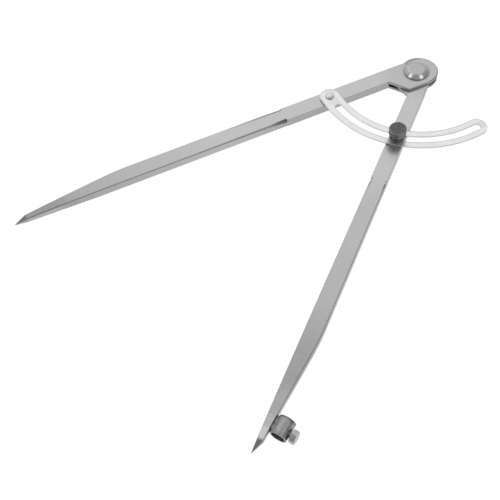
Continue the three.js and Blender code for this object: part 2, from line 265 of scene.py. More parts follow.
def turned(profile, columns=ROUND_COLUMNS, ripple=None):
    """A profile of (radius, height) turned about Z. The ripple adds to the radius as a function of angle and
    height: point = ((radius + ripple) cos angle, (radius + ripple) sin angle, height)."""
    profile = np.asarray(profile, float)
    angle = np.arange(columns) * (2 * math.pi / columns)
    radius = np.repeat(profile[:, :1], columns, 1)
    height = np.repeat(profile[:, 1:], columns, 1)
    if ripple is not None:
        radius = radius + ripple(angle[None, :], height, radius)
    points = np.stack([radius * np.cos(angle), radius * np.sin(angle), height], -1)
    return points.reshape(-1, 3), grid_quads(len(profile), columns, wrap_columns=True)


def corner(before, at, after, size, steps):
    """A rounded corner of a profile: a parabola that leaves both edges at the size's distance from it."""
    before, at, after = (np.asarray(p, float) for p in (before, at, after))
    a = at + (before - at) * min(size / np.linalg.norm(before - at), 0.5)
    b = at + (after - at) * min(size / np.linalg.norm(after - at), 0.5)
    t = np.linspace(0, 1, steps + 1)[:, None]
    return a * (1 - t) ** 2 + 2 * at * t * (1 - t) + b * t**2


def rounded_profile(corners, sizes, steps=3):
    """A profile through corners, each rounded by its size. A size of zero keeps a corner sharp."""
    rows = []
    for i, (point, size) in enumerate(zip(corners, sizes)):
        if size == 0 or i in (0, len(corners) - 1):
            rows.append(np.array([point], float))
        else:
            rows.append(corner(corners[i - 1], point, corners[i + 1], size, steps))
    return np.concatenate(rows)


def about_z(degrees, x=0.0, y=0.0, z=0.0, mirror=False):
    """A turn about Z and a move, as a 4 by 4 array. Mirror turns X over first."""
    turn = Matrix.Rotation(degrees * DEG, 4, "Z")
    flip = Matrix.Diagonal((-1 if mirror else 1, 1, 1, 1))
    return np.array(Matrix.Translation((x, y, z)) @ turn @ flip)


# Shapes of the legs


def width_at(along):
    """The bar's width: straight, then a round bend, then an even taper down to the point's shoulders."""
    past = along - (BEND - BEND_HALF)
    bend = LEG_WIDTH - TAPER_SLOPE * past**2 / (4 * BEND_HALF)
    taper = LEG_WIDTH - TAPER_SLOPE * (along - BEND)
    return np.where(past <= 0, LEG_WIDTH, np.where(past < 2 * BEND_HALF, bend, taper))


def head_round(radius, angle):
    """Plan points of the head's round, at angles from its far end that are positive outwards."""
    return np.stack([ROUND_OUT + radius * np.sin(angle), -ROUND_BEYOND - radius * np.cos(angle)], -1)


def leg_sides(radius, extra=(0.0, 0.0)):
    """Plan points, as (out, along), of a leg's inner and outer side at matching stations.

    The inner side is a quarter round, a straight inner edge, a slanted edge back to the bar's inner face at
    the heel, and that face. The outer side is the round down to the bar's outer face, and that face. The
    station at the heel runs along the slanted shoulder. Returns both sides and the number of the heel's
    station. The extra is how much wider than plain the leg is, inside and outside.
    """
    inside = INNER_FACE - extra[0]
    outside = INNER_FACE + LEG_WIDTH + extra[1]
    inner_side = ROUND_OUT - radius
    corner_along = math.sqrt(CORNER_REACH**2 - inner_side**2)
    heel_along = corner_along + (inside - inner_side) * math.tan(SLANT)
    shoulder = (SHOULDER_REACH - outside * math.sin(SLANT)) / math.cos(SLANT)
    inner_round = head_round(radius, np.linspace(0, -math.pi / 2, QUARTER_STEPS))
    edge = np.linspace([inner_side, -ROUND_BEYOND], [inner_side, corner_along], EDGE_STEPS)[1:]
    slanted = np.linspace([inner_side, corner_along], [inside, heel_along], EDGE_STEPS)[1:]
    inner_head = np.concatenate([inner_round, edge, slanted])
    sweep = math.pi / 2 + math.acos((outside - ROUND_OUT) / radius)
    outer_round = head_round(radius, np.linspace(0, sweep, ROUND_STEPS))
    flank = np.linspace(outer_round[-1], [outside, shoulder], EDGE_STEPS)[1:]
    outer_head = np.concatenate([outer_round, flank])
    bar = np.unique(np.concatenate([np.linspace(*stretch) for stretch in STATIONS]))
    outer_bar = INNER_FACE + width_at(bar) * (1 + extra[1] / LEG_WIDTH)
    inner = np.concatenate([inner_head, np.stack([0 * bar + inside, bar], -1)])
    outer = np.concatenate([outer_head, np.stack([outer_bar, bar], -1)])
    return inner, outer, len(inner_head) - 1


def outward(side, turn):
    """At each point of a plan line, the mitred direction square to it, so that an offset line keeps its
    distance."""
    steps = np.diff(side, axis=0)
    steps /= np.linalg.norm(steps, axis=1)[:, None]
    square = np.stack([steps[:, 1], -steps[:, 0]], -1) * turn
    before = np.concatenate([[[0.0, -1.0]], square])
    after = np.concatenate([square, square[-1:]])
    total = before + after
    return total / np.maximum(1 + (before * after).sum(1, keepdims=True), MITRE_LIMIT)


def faded(start, end, along, length):
    """A size that runs evenly from its start at the notch to its end."""
    return start + (end - start) * np.clip((along - NOTCH) / length, 0, 1)


def edge_levels(width, depth):
    """Four points, as (inset, drop), over a ground edge of that width and depth, with softened creases."""
    slope = np.hypot(width, depth)
    return [
        (width + SOFT, 0 * depth),
        (width * (1 - SOFT / slope), depth * SOFT / slope),
        (width * SOFT / slope, depth * (1 - SOFT / slope)),
        (0 * width, depth + SOFT),
    ]


def leg_sections(inner, outer, split):
    """The rings of twenty points round a leg, one ring a station, from the top inner edge down and round.

    A ring point = side point - inset * outward direction, at the upper face - drop or the lower face + drop.
    Both faces close in towards the point. The split gives the two heights at which fork or tongue begin.
    """
    rings = []
    for side, turn, chamfer, fade_length, notch_share in (
        (inner, -1, INNER_CHAMFER, INNER_FADE, 1),
        (outer, 1, OUTER_CHAMFER, OUTER_FADE, OUTER_NOTCH_SHARE),
    ):
        along = side[:, 1]
        square = outward(side, turn)
        ground = along > NOTCH
        rim = [np.interp(along, HEAD_RIM_RUN, [size, EDGE_BREAK]) for size in HEAD_RIM]
        notch = faded(1, 0, along, NOTCH_LENGTH) * notch_share
        width = faded(chamfer[0], FINE_CHAMFER, along, fade_length) + notch * NOTCH_EXTRA[0]
        depth = faded(chamfer[1], FINE_CHAMFER, along, fade_length) + notch * NOTCH_EXTRA[1]
        width = np.where(ground, width, rim[0])
        depth = np.where(ground, depth, rim[1])
        lower = np.where(ground, LOWER_CHAMFER, EDGE_BREAK)
        high = LEG_HIGH - np.interp(along, *TOP_FALL)
        low = LEG_LOW + np.interp(along, *LOW_RISE)
        levels = [(inset, high - drop) for inset, drop in edge_levels(width, depth)]
        for z in split:
            closed = LEG_MIDDLE + (z - LEG_MIDDLE) * SPLIT_CLOSED_SHARE
            levels.append((0 * along, np.interp(along, SPLIT_RUN, [z, closed])))
        levels += [(inset, low + drop) for inset, drop in edge_levels(lower, lower)[::-1]]
        points = [
            np.concatenate([side - inset[:, None] * square, z[:, None]], 1) for inset, z in levels
        ]
        rings.append(np.stack(points, 1))
    return np.concatenate([rings[0], rings[1][:, ::-1]], 1)


def with_point(rings):
    """Adds the four-sided point: every ring point runs straight to its place on the small blunt end."""
    last = rings[-1]
    centre = np.array([(last[:, 0].min() + last[:, 0].max()) / 2, SHOULDERS, LEG_MIDDLE])
    reach = np.abs(last - centre).max(0)
    scale = np.array([TIP_FLAT / 2 / reach[0], 0, TIP_FLAT / 2 / reach[2]])
    tip = (last - centre) * scale + [TIP_OUT, LEG_LENGTH, LEG_MIDDLE]
    steps = np.linspace(0, 1, TIP_STEPS)[1:, None, None]
    return np.concatenate([rings, last + (tip - last) * steps])


def leg_points(points):
    """From a leg's own (out, along, height) to x, y and z, with the leg's body on the +X side."""
    return np.stack([points[..., 0], -points[..., 1], points[..., 2]], -1).reshape(-1, 3)


def needle_leg():
    """The forked leg: one closed skin over the leg's rings. From the round to the heel's station the faces
    between the two split heights are left out, and the slot's floor, roof and root take their place."""
    inner, outer, heel = leg_sides(CHEEK_RADIUS, FORKED_EXTRA)
    rings = with_point(leg_sections(inner, outer, (LEG_HIGH - CHEEK, LEG_LOW + CHEEK)))
    stations, around = rings.shape[:2]
    in_top, in_low, out_low, out_top = 4, 5, 14, 15
    quads = grid_quads(stations, around, wrap_columns=True)
    row = np.arange(stations - 1)[:, None]
    column = np.arange(around)[None, :]
    open_slot = (row < heel) & ((column == in_top) | (column == out_low))
    quads = quads[~open_slot.reshape(-1)]
    base = np.arange(heel)[:, None] * around
    following = base + around
    roof = np.concatenate([base + in_top, following + in_top, following + out_top, base + out_top], 1)
    floor = np.concatenate([base + in_low, base + out_low, following + out_low, following + in_low], 1)
    root = [[heel * around + i for i in (in_top, in_low, out_low, out_top)]]
    end = [[(stations - 1) * around + i for i in range(around)]]
    faces = [*quads.tolist(), *roof.tolist(), *floor.tolist(), *root, *end]
    return leg_points(rings), faces


def pencil_leg():
    """The leg with the tongue: a closed skin over the rings from the heel's station on, and a closed plate
    for the tongue, which runs on into the bar, a little inside its faces."""
    inner, outer, heel = leg_sides(TONGUE_RADIUS)
    rings = with_point(leg_sections(inner, outer, (LEG_HIGH - CHEEK, LEG_LOW + CHEEK)))[heel:]
    stations, around = rings.shape[:2]
    faces = grid_quads(stations, around, wrap_columns=True).tolist()
    faces += [list(range(around)), [(stations - 1) * around + i for i in range(around)]]
    points = leg_points(rings)
    hidden_out = INNER_FACE + TONGUE_INSET, INNER_FACE + LEG_WIDTH - TONGUE_INSET
    hidden = zip(hidden_out, TONGUE_ENDS)
    sides = [np.concatenate([s[: heel + 1], [h]]) for s, h in zip((inner, outer), hidden)]
    sides[0][heel, 0] += TONGUE_INSET
    sides[1][heel, 0] -= TONGUE_SKIN
    low = LEG_LOW + CHEEK + TONGUE_GAP
    high = LEG_HIGH - CHEEK - TONGUE_GAP
    cut = EDGE_BREAK / 2
    levels = [(cut, high), (0, high - cut), (0, low + cut), (cut, low)]
    loops = []
    for side, turn in zip(sides, (-1, 1)):
        square = outward(side, turn)
        lines = [np.concatenate([side - inset * square, 0 * side[:, :1] + z], 1) for inset, z in levels]
        loops.append(np.stack(lines, 1))
    plate = np.concatenate([loops[0], loops[1][:, ::-1]], 1)
    rows, columns = plate.shape[:2]
    faces += grid_quads(rows, columns, wrap_columns=True, start=len(points)).tolist()
    faces += [[len(points) + (rows - 1) * columns + i for i in range(columns)]]
    return np.concatenate([points, leg_points(plate)]), faces


# Shapes of the rivets, arc, washer and thumb screw


def pivot_rivet():
    """A turned profile: shank, coned head with a soft rim, and a very slightly dished end face."""
    foot = LEG_HIGH + SEAT
    top = foot + CONE_HEIGHT
    corners = [
        (0, 0),
        (PIVOT_RADIUS, 0),
        (PIVOT_RADIUS, foot),
        (CONE_RADIUS, foot),
        (CONE_RADIUS, foot + CONE_RIM),
        (CONE_TOP_RADIUS, top),
        (DISH_RADIUS, top),
        (0, top - DISH),
    ]
    return turned(rounded_profile(corners, CONE_ROUNDINGS, 5))


def rivet_burr():
    """A turned profile: the washer that the rivet's lower end is closed over."""
    top = LEG_LOW - SEAT
    corners = [
        (BURR_BORE, 0),
        (BURR_FLAT, 0),
        (BURR_RADIUS, BURR_BEVEL),
        (BURR_RADIUS, top),
        (BURR_BORE, top),
        (BURR_BORE, 0),
    ]
    return turned(rounded_profile(corners, BURR_ROUNDINGS))


def bearing_points(radius, degrees):
    """Points on a circle about the pivot, at bearings in degrees from -Y."""
    angle = (np.asarray(degrees) - 90) * DEG
    return np.stack([radius * np.cos(angle), radius * np.sin(angle)], -1)


def band_outline(half, start, end, shift=0.0, along=60, cap=20):
    """A round-ended band about the pivot, of that half width, run round once: outer side, end, inner side,
    start. Its middle line has the arc's radius, plus a shift at the start that fades over the lead's turn."""
    turn = np.linspace(0, 1, cap + 1)[1:-1] * 180
    bearing = np.linspace(start, end, along)
    reach = ARC_RADIUS + shift * np.maximum(1 - (bearing - start) / RIVET_LEAD, 0) ** 2
    outer = bearing_points(reach + half, bearing)
    inner = bearing_points(reach - half, bearing)[::-1]
    end_cap = bearing_points(reach[-1], end) + bearing_points(half, end + turn)
    start_cap = bearing_points(reach[0], start) + bearing_points(half, start + 180 + turn)
    return np.concatenate([outer, end_cap, inner, start_cap])


def quadrant_arc():
    """The slotted sheet. Its section, a flat bar with rounded corners, is carried round the slot: at every
    step the section reaches from the slot's outline to the matching point of the sheet's outline."""
    slot = band_outline(SLOT_WIDTH / 2, SCREW_BEARING, SCREW_BEARING + LARGEST_OPENING)
    sheet = band_outline(ARC_WIDTH / 2, -RIVET_BEARING, SCREW_BEARING + LARGEST_OPENING, RIVET_SHIFT)
    round_steps = np.linspace(0, math.pi / 2, 4)
    fillet = ARC_EDGE * np.stack([1 - np.sin(round_steps), 1 - np.cos(round_steps)], -1)
    section = []
    for share, sign in ((0, 1), (1, -1)):
        top = [(share, sign * inset, ARC_HIGH - drop) for inset, drop in fillet[::-1]]
        bottom = [(share, sign * inset, ARC_LOW + drop) for inset, drop in fillet]
        section += (top + bottom)[::sign]
    section = np.array(section)
    way = sheet - slot
    length = np.linalg.norm(way, axis=1, keepdims=True)
    share = section[None, :, 0] + section[None, :, 1] / length
    plan = slot[:, None] + way[:, None] * share[..., None]
    height = np.broadcast_to(section[None, :, 2:], (len(slot), len(section), 1))
    points = np.concatenate([plan, height], -1)
    return points.reshape(-1, 3), grid_quads(len(slot), len(section), True, True)


def arc_rivet():
    """A turned profile: a low dome with a small flat in the middle, over a shank that ends just under the
    leg."""
    foot = ARC_HIGH + SEAT
    end = LEG_LOW - SEAT
    turn = np.linspace(0, DOME_TURN, 12)
    dome = np.stack([DOME_RADIUS * np.cos(turn), foot + DOME_WALL + DOME_RISE * np.sin(turn)], -1)
    shank = [(0, end), (RIVET_RADIUS, end), (RIVET_RADIUS, foot), (DOME_RADIUS, foot)]
    return turned(np.concatenate([shank, dome, [(0, foot + DOME_TOP)]]), DOME_COLUMNS)


def flat_ring(bore, radius, low, high, roundings):
    """A turned profile: a ring with flat ends, closed at the foot of its bore."""
    corners = [(bore, low), (radius, low), (radius, high), (bore, high), (bore, low)]
    return turned(rounded_profile(corners, roundings, 4))


def clamp_washer():
    """The round flange between thumb screw and arc."""
    low = ARC_HIGH + SEAT
    return flat_ring(WASHER_BORE, WASHER_RADIUS, low, low + WASHER_THICKNESS, WASHER_ROUNDINGS)


def thread(depth, low, high, angle, height):
    """How far an M4 thread is cut in at an angle and height: the depth times a triangle wave of height less
    the share of a turn, which fades out at both ends."""
    phase = np.mod(height / M4_PITCH - angle / (2 * math.pi), 1)
    wave = 1 - np.abs(2 * phase - 1)
    ends = np.clip((height - low) / M4_PITCH, 0, 1) * np.clip((high - height) / M4_PITCH, 0, 1)
    return depth * wave * ends


def threaded_shank(end, start, high, steps, tip_radius):
    """Profile rows of an M4 shank: the middle and rim of its end, then steps from its thread's start."""
    rows = np.stack([np.full(steps, M4_RADIUS), np.linspace(start, high, steps)], -1)
    return np.concatenate([[(0, end), (tip_radius, end)], rows])


def thumb_screw():
    """A turned profile: threaded shank, plain neck and a head whose side is knurled with fine straight teeth.
    Its radius falls by the absolute sine of half the teeth times the angle."""
    neck_low = ARC_HIGH + WASHER_THICKNESS + 2 * SEAT
    low = SCREW_TOP - SCREW_HEAD
    thread_low = SCREW_END + SCREW_CHAMFER
    shank = threaded_shank(SCREW_END, thread_low, neck_low, THREAD_STEPS, M4_RADIUS - SCREW_CHAMFER)
    corners = [
        (M4_RADIUS, neck_low),
        (NECK_RADIUS, neck_low),
        (NECK_RADIUS, low - NECK_SLOPE),
        (HEAD_RADIUS - FOOT_BEVEL, low),
        (HEAD_RADIUS, low + FOOT_BEVEL),
        (HEAD_RADIUS, SCREW_TOP - TOP_BEVEL[1]),
        (HEAD_RADIUS - TOP_BEVEL[0], SCREW_TOP),
        (HEAD_RADIUS - TOP_RIM, SCREW_TOP - TOP_SINK),
        (0, SCREW_TOP - TOP_SINK),
    ]
    head = rounded_profile(corners, HEAD_ROUNDINGS)
    above = np.argmax(head[:, 1] > low + KNURL_ROWS[0])
    rows = np.linspace(low + KNURL_ROWS[0], SCREW_TOP - KNURL_ROWS[1], KNURL_ROWS[2])
    side = np.stack([0 * rows + HEAD_RADIUS, rows], -1)
    profile = np.concatenate([shank, head[:above], side, head[above:]])

    def ripple(angle, height, radius):
        cut = thread(SCREW_THREAD, thread_low, neck_low, angle, height)
        from_foot = np.clip((height - low - KNURL_ENDS[0]) / KNURL_FADE, 0, 1)
        to_top = np.clip((SCREW_TOP - KNURL_ENDS[1] - height) / KNURL_FADE, 0, 1)
        teeth = np.abs(np.sin(angle * TEETH / 2)) * (radius > HEAD_RADIUS - KNURL_SKIN)
        return -cut - KNURL_DEPTH * teeth * from_foot * to_top

    return turned(profile, TEETH * TOOTH_STEPS, ripple)


# Shapes of the ring, its braze and its screw


def pencil_tube():
    """The pencil ring: a short tube, upright here, with its mouths slightly rounded over."""
    return flat_ring(BORE_RADIUS, RING_RADIUS, -RING_LENGTH / 2, RING_LENGTH / 2, RING_ROUNDINGS)


def braze_fillet():
    """The braze: its section, a bar with hollow upper and lower faces that creep up leg and tube, is carried
    along the ring. Its height changes a little in waves, each (size, angle at the end, start), and falls to
    nothing at both ends."""
    t = np.linspace(-1, 1, 41)
    x = np.linspace(-RING_RADIUS - STANDOFF - BRAZE_BEHIND, -BRAZE_FRONT, 13)
    share = (x - x[0]) / (x[-1] - x[0])
    half = RING_LENGTH / 2 - BRAZE_SHORT
    wave = 1 + sum(size * np.sin(angle * t + start) for size, angle, start in BRAZE_WAVES)
    ends = np.sqrt(np.clip(1 - np.abs(t) ** BRAZE_END_POWER, 0, 1))
    section = BRAZE_HALF - BRAZE_HOLLOW * share * (1 - share) + BRAZE_CREEP * share**2
    top = section[None, :] * wave[:, None] * ends[:, None]
    y = t[:, None] * half + 0 * top
    upper = np.stack([x[None, :] + 0 * top, y, top], -1)
    lower = upper * [1, 1, -1]
    rings = np.concatenate([upper, lower[:, ::-1]], 1)
    rows, columns = rings.shape[:2]
    return rings.reshape(-1, 3), grid_quads(rows, columns, wrap_columns=True)


def clamp_screw():
    """Hexagon head with its outer corners turned off, and a threaded shank. The head's radius at an angle is
    half the width over flats over the cosine of the angle from the nearest flat's middle."""
    neck = RING_RADIUS + CLAMP_NECK
    top = neck + CLAMP_HEAD
    end = BORE_RADIUS - CLAMP_REACH
    thread_low = end + CLAMP_CHAMFER[1]
    shank = threaded_shank(end, thread_low, neck, CLAMP_STEPS, M4_RADIUS - CLAMP_CHAMFER[0])
    foot_rows = [(HEX_RADIUS - inset, neck + up) for inset, up in HEX_FOOT]
    top_rows = [(HEX_RADIUS - inset, top - down) for inset, down in HEX_TOP]
    profile = np.concatenate([shank, foot_rows, top_rows, [(0, top)]])

    def ripple(angle, height, radius):
        cut = thread(CLAMP_THREAD, thread_low, neck, angle, height)
        nearest = np.mod(angle, math.pi / 3) - math.pi / 6
        hexagon = CLAMP_FLATS / 2 / np.cos(nearest)
        return np.where(radius > M4_RADIUS, np.minimum(hexagon - radius, 0), -cut)

    return turned(profile, CLAMP_COLUMNS, ripple)


# Places of the pieces

needle_place = about_z(-OPENING, mirror=True)
arc_place = about_z(-OPENING)
rivet_x, rivet_y = bearing_points(ARC_RADIUS + RIVET_SHIFT, -RIVET_BEARING)
rivet_place = about_z(-OPENING) @ about_z(0, rivet_x, rivet_y)
screw_place = about_z(0, SCREW_OUT, SCREW_Y)
ring_turn = math.atan(TAPER_SLOPE) / DEG + RING_TOE
ring_side = INNER_FACE + float(width_at(np.array(RING_ALONG)))
ring_x = ring_side + (RING_RADIUS + STANDOFF) / math.cos(math.atan(TAPER_SLOPE))
ring_place = about_z(-ring_turn, ring_x, -RING_ALONG, LEG_MIDDLE)
tube_place = ring_place @ np.array(Matrix.Rotation(-math.pi / 2, 4, "X"))
clamp_place = ring_place @ about_z(0, 0, -CLAMP_OFFSET) @ np.array(Matrix.Rotation(math.pi / 2, 4, "Y"))

pieces = {}
for name, shape, place, body, node in (
    ("needle_leg_forged", needle_leg(), needle_place, "needle_side", "needle_leg"),
    ("pencil_leg_forged", pencil_leg(), None, "pencil_side", "pencil_leg"),
    ("pivot_rivet_turned", pivot_rivet(), None, "needle_side", "pivot_rivet"),
    ("rivet_burr_turned", rivet_burr(), None, "needle_side", "rivet_burr"),
    ("quadrant_arc_sheet", quadrant_arc(), arc_place, "needle_side", "quadrant_arc"),
    ("arc_rivet_dome", arc_rivet(), rivet_place, "needle_side", "arc_rivet"),
    ("clamp_washer_turned", clamp_washer(), screw_place, "washer", "clamp_washer"),
    ("thumb_screw_knurled", thumb_screw(), screw_place, "arc_screw", "thumb_screw"),
    ("pencil_ring_tube", pencil_tube(), tube_place, "pencil_side", "pencil_ring"),
    ("braze_fillet", braze_fillet(), ring_place, "pencil_side", None),
    ("pencil_clamp_threaded", clamp_screw(), clamp_place, "ring_screw", "pencil_clamp_screw"),
):
    piece = make_piece(name, *shape, place, FORGED_CREASE if name.endswith("forged") else CREASE)
    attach(piece, body)
    if node:
        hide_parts(node)
    pieces[name] = piece


# Nodes of the materials


# Bump distances
FINE_BUMP = 0.02
SCALE_BUMP = 0.04
OXIDE_BUMP = 0.05

# Kinds of grain: (stretch of the lines, scale of the clouds, share of the lines, share of the clouds,
# roughness)
FINE_GRIND = ((2200, 60, 2200), 90.0, 0.10, 0.10, 0.30)
CROSS_GRIND = ((500, 3200, 500), 300.0, 0.25, 0.25, 0.38)
STREAKS = ((150, 1500, 150), 45.0, 0.12, 0.06, 0.30)
TURNED_RINGS = ((3500, 3500, 1), 250.0, 0.16, 0.08, 0.24)
PLATING = ((160, 900, 160), 160.0, 0.05, 0.10, 0.36)
OXIDE = ((900, 900, 900), 600.0, 1.0, 1.0, 0.42)
DRAWN_TUBE = ((900, 240, 900), 420.0, 0.25, 0.90, 0.36)
ZINC = ((1300, 1300, 1300), 500.0, 0.5, 0.5, 0.34)

# Kinds of marks: (scale of the noise, limit above which it shows, softness)
STAINS = (70.0, 0.64, 0.12)
MOTTLE = (650.0, 0.54, 0.1)
CLOUDS = (260.0, 0.55, 0.25)
DULL_SPOTS = (150.0, 0.62, 0.1)
SMALL_SPOTS = (420.0, 0.58, 0.12)
RUBBED = (620.0, 0.52, 0.12)
PITS = (800.0, 0.55, 0.1)
SHEEN_STREAKS = (420.0, 0.42, 0.25)
BURNT_SPOTS = (260.0, 0.50, 0.2)
SPECKS = (600.0, 0.56, 0.15)


def link(tree, value, socket):
    """Joins another node's output to a socket, or sets the socket's value."""
    if isinstance(value, bpy.types.NodeSocket):
        tree.links.new(value, socket)
    else:
        socket.default_value = value


def add(tree, kind, inputs, **settings):
    """A node of a kind, with its settings and its inputs by name or number."""
    made = tree.nodes.new(kind)
    for key, value in settings.items():
        setattr(made, key, value)
    for key, value in inputs.items():
        link(tree, value, made.inputs[key])
    return made


def calc(tree, operation, a, b=0.0):
    """The result of a Math node."""
    return add(tree, "ShaderNodeMath", {0: a, 1: b}, operation=operation).outputs[0]


def times(tree, a, b):
    """The product of two values."""
    return calc(tree, "MULTIPLY", a, b)


def reckon(tree, operation, a, b=(0.0, 0.0, 0.0)):
    """The result of a Vector Math node: a value for a length or a dot product, and a vector otherwise."""
    made = add(tree, "ShaderNodeVectorMath", {0: a, 1: b}, operation=operation)
    return made.outputs["Value" if operation in ("LENGTH", "DOT_PRODUCT") else "Vector"]


def in_plan(tree, vector):
    """A vector with its height taken out."""
    return reckon(tree, "MULTIPLY", vector, (1, 1, 0))


def separate(tree, vector):
    """The X, Y and Z of a vector."""
    return add(tree, "ShaderNodeSeparateXYZ", {0: vector}).outputs


def blend(tree, share, a, b):
    """Two colours mixed by a share."""
    return add(tree, "ShaderNodeMix", {0: share, 6: a, 7: b}, data_type="RGBA").outputs[2]


def mixed(tree, share, a, b):
    """Two values mixed by a share."""
    return add(tree, "ShaderNodeMix", {0: share, 2: a, 3: b}).outputs[0]


def remap(tree, value, low, high, to_low=0.0, to_high=1.0):
    """A value carried from one range to another, and held inside it."""
    made = add(tree, "ShaderNodeMapRange", {0: value, 1: low, 2: high, 3: to_low, 4: to_high})
    return made.outputs[0]


def over(tree, distance, run):
    """A share that is none at the first place of a run and full at the second, with both in millimetres."""
    return remap(tree, distance, run[0] * MM, run[1] * MM)


def grey(level):
    """A neutral colour from a grey level of 0 to 255 as it looks on a screen."""
    share = level / 255
    linear = share / 12.92 if share <= 0.04045 else ((share + 0.055) / 1.055) ** 2.4
    return (linear, linear, linear * 0.995, 1)


def toned(tree, color, mask, share, level):
    """A colour mixed towards a grey level by a share of a mask."""
    return blend(tree, times(tree, mask, share), color, grey(level))


def toward(azimuth, elevation):
    """A direction from an azimuth, with zero at -Y and positive towards +X, and an elevation."""
    flat = math.cos(elevation * DEG)
    return (math.sin(azimuth * DEG) * flat, -math.cos(azimuth * DEG) * flat, math.sin(elevation * DEG))


def levelness(tree):
    """How level the surface lies, from 1 where it is flat to 0 where it is upright."""
    normal = tree.nodes.new("ShaderNodeNewGeometry").outputs["Normal"]
    return calc(tree, "ABSOLUTE", separate(tree, normal)["Z"])


def new_group(name, inputs, outputs):
    """An empty node group with its sockets, as a kind for each name, and its two end nodes."""
    tree = bpy.data.node_groups.new(name, "ShaderNodeTree")
    for way, sockets in (("INPUT", inputs), ("OUTPUT", outputs)):
        for label, kind in sockets.items():
            tree.interface.new_socket(label, in_out=way, socket_type="NodeSocket" + kind)
    return tree, tree.nodes.new("NodeGroupInput").outputs, tree.nodes.new("NodeGroupOutput").inputs


def satin_group():
    """Lines of grinding and soft clouds over a metal's colour.

    Lines are noise on stretched coordinates, clouds are noise at a few millimetres. Colour = base times
    (1 + lines' share + clouds' share); roughness moves with the clouds, and height is the lines.
    """
    tree, given, out = new_group(
        "satin_grain",
        {
            "Vector": "Vector",
            "Base": "Color",
            "Stretch": "Vector",
            "Cloud Scale": "Float",
            "Lines": "Float",
            "Clouds": "Float",
            "Roughness": "Float",
        },
        {"Color": "Color", "Roughness": "Float", "Height": "Float"},
    )
    rough_share = 0.25
    stretched = reckon(tree, "MULTIPLY", given["Vector"], given["Stretch"])
    lines = add(tree, "ShaderNodeTexNoise", {"Vector": stretched, "Scale": 1.0, "Detail": 3.0}).outputs[0]
    clouds = add(
        tree, "ShaderNodeTexNoise", {"Vector": given["Vector"], "Scale": given["Cloud Scale"], "Detail": 4.0}
    ).outputs[0]
    off_middle = calc(tree, "SUBTRACT", clouds, 0.5)
    line_part = times(tree, calc(tree, "SUBTRACT", lines, 0.5), given["Lines"])
    cloud_part = times(tree, off_middle, given["Clouds"])
    level = calc(tree, "ADD", calc(tree, "ADD", line_part, cloud_part), 1.0)
    shaded = add(tree, "ShaderNodeVectorMath", {0: given["Base"], 3: level}, operation="SCALE").outputs[0]
    link(tree, shaded, out["Color"])
    link(tree, calc(tree, "ADD", given["Roughness"], times(tree, off_middle, rough_share)), out["Roughness"])
    link(tree, lines, out["Height"])
    return tree


def spots_group():
    """A mask of sparse marks: noise above a limit, with soft rims."""
    tree, given, out = new_group(
        "tarnish_spots",
        {"Vector": "Vector", "Scale": "Float", "Limit": "Float", "Softness": "Float"},
        {"Mask": "Float"},
    )
    noise = {"Vector": given["Vector"], "Scale": given["Scale"], "Detail": 6.0, "Roughness": 0.65}
    coarse = add(tree, "ShaderNodeTexNoise", noise).outputs[0]
    upper = calc(tree, "ADD", given["Limit"], given["Softness"])
    link(tree, remap(tree, coarse, given["Limit"], upper), out["Mask"])
    return tree


satin = satin_group()
spots = spots_group()


def group(tree, which, **inputs):
    """A node group placed in a material, with its inputs by name."""
    made = tree.nodes.new("ShaderNodeGroup")
    made.node_tree = which
    for key, value in inputs.items():
        link(tree, value, made.inputs[key.replace("_", " ")])
    return made.outputs


def grained(tree, vector, base, kind):
    """A base colour under a kind of grain, with the roughness and height of that grain."""
    stretch, cloud_scale, lines, clouds, roughness = kind
    return group(
        tree, satin, Vector=vector, Base=base, Stretch=stretch, Cloud_Scale=cloud_scale,
        Lines=lines, Clouds=clouds, Roughness=roughness,
    )


def marks(tree, vector, kind):
    """The mask of a kind of tarnish spots."""
    scale, limit, softness = kind
    return group(tree, spots, Vector=vector, Scale=scale, Limit=limit, Softness=softness)["Mask"]


def emptied(owner):
    """The node tree of a new material or world, without the nodes that it comes with."""
    owner.use_nodes = True
    owner.node_tree.nodes.clear()
    return owner.node_tree


def start_material(name, turn=0.0, centre=(0.0, 0.0, 0.0)):
    """A new material and its coordinates on the piece, centred and then turned by two Mapping nodes."""
    material = bpy.data.materials.new(name)
    tree = emptied(material)
    place = tree.nodes.new("ShaderNodeTexCoord").outputs["Object"]
    centred = add(tree, "ShaderNodeMapping", {"Vector": place, "Location": tuple(-c for c in centre)})
    turned_back = add(tree, "ShaderNodeMapping", {"Vector": centred.outputs[0], "Rotation": (0, 0, turn)})
    return material, tree, turned_back.outputs[0]


def finish_material(tree, color, roughness, height, metallic=1.0, distance=FINE_BUMP, strength=0.3):
    """The shader: colour, roughness and a bump from the height, whose distance is in millimetres."""
    bump = add(tree, "ShaderNodeBump", {"Height": height, "Strength": strength, "Distance": distance * MM})
    shader = add(
        tree,
        "ShaderNodeBsdfPrincipled",
        {"Base Color": color, "Roughness": roughness, "Metallic": metallic, "Normal": bump.outputs[0]},
    )
    add(tree, "ShaderNodeOutputMaterial", {0: shader.outputs[0]})


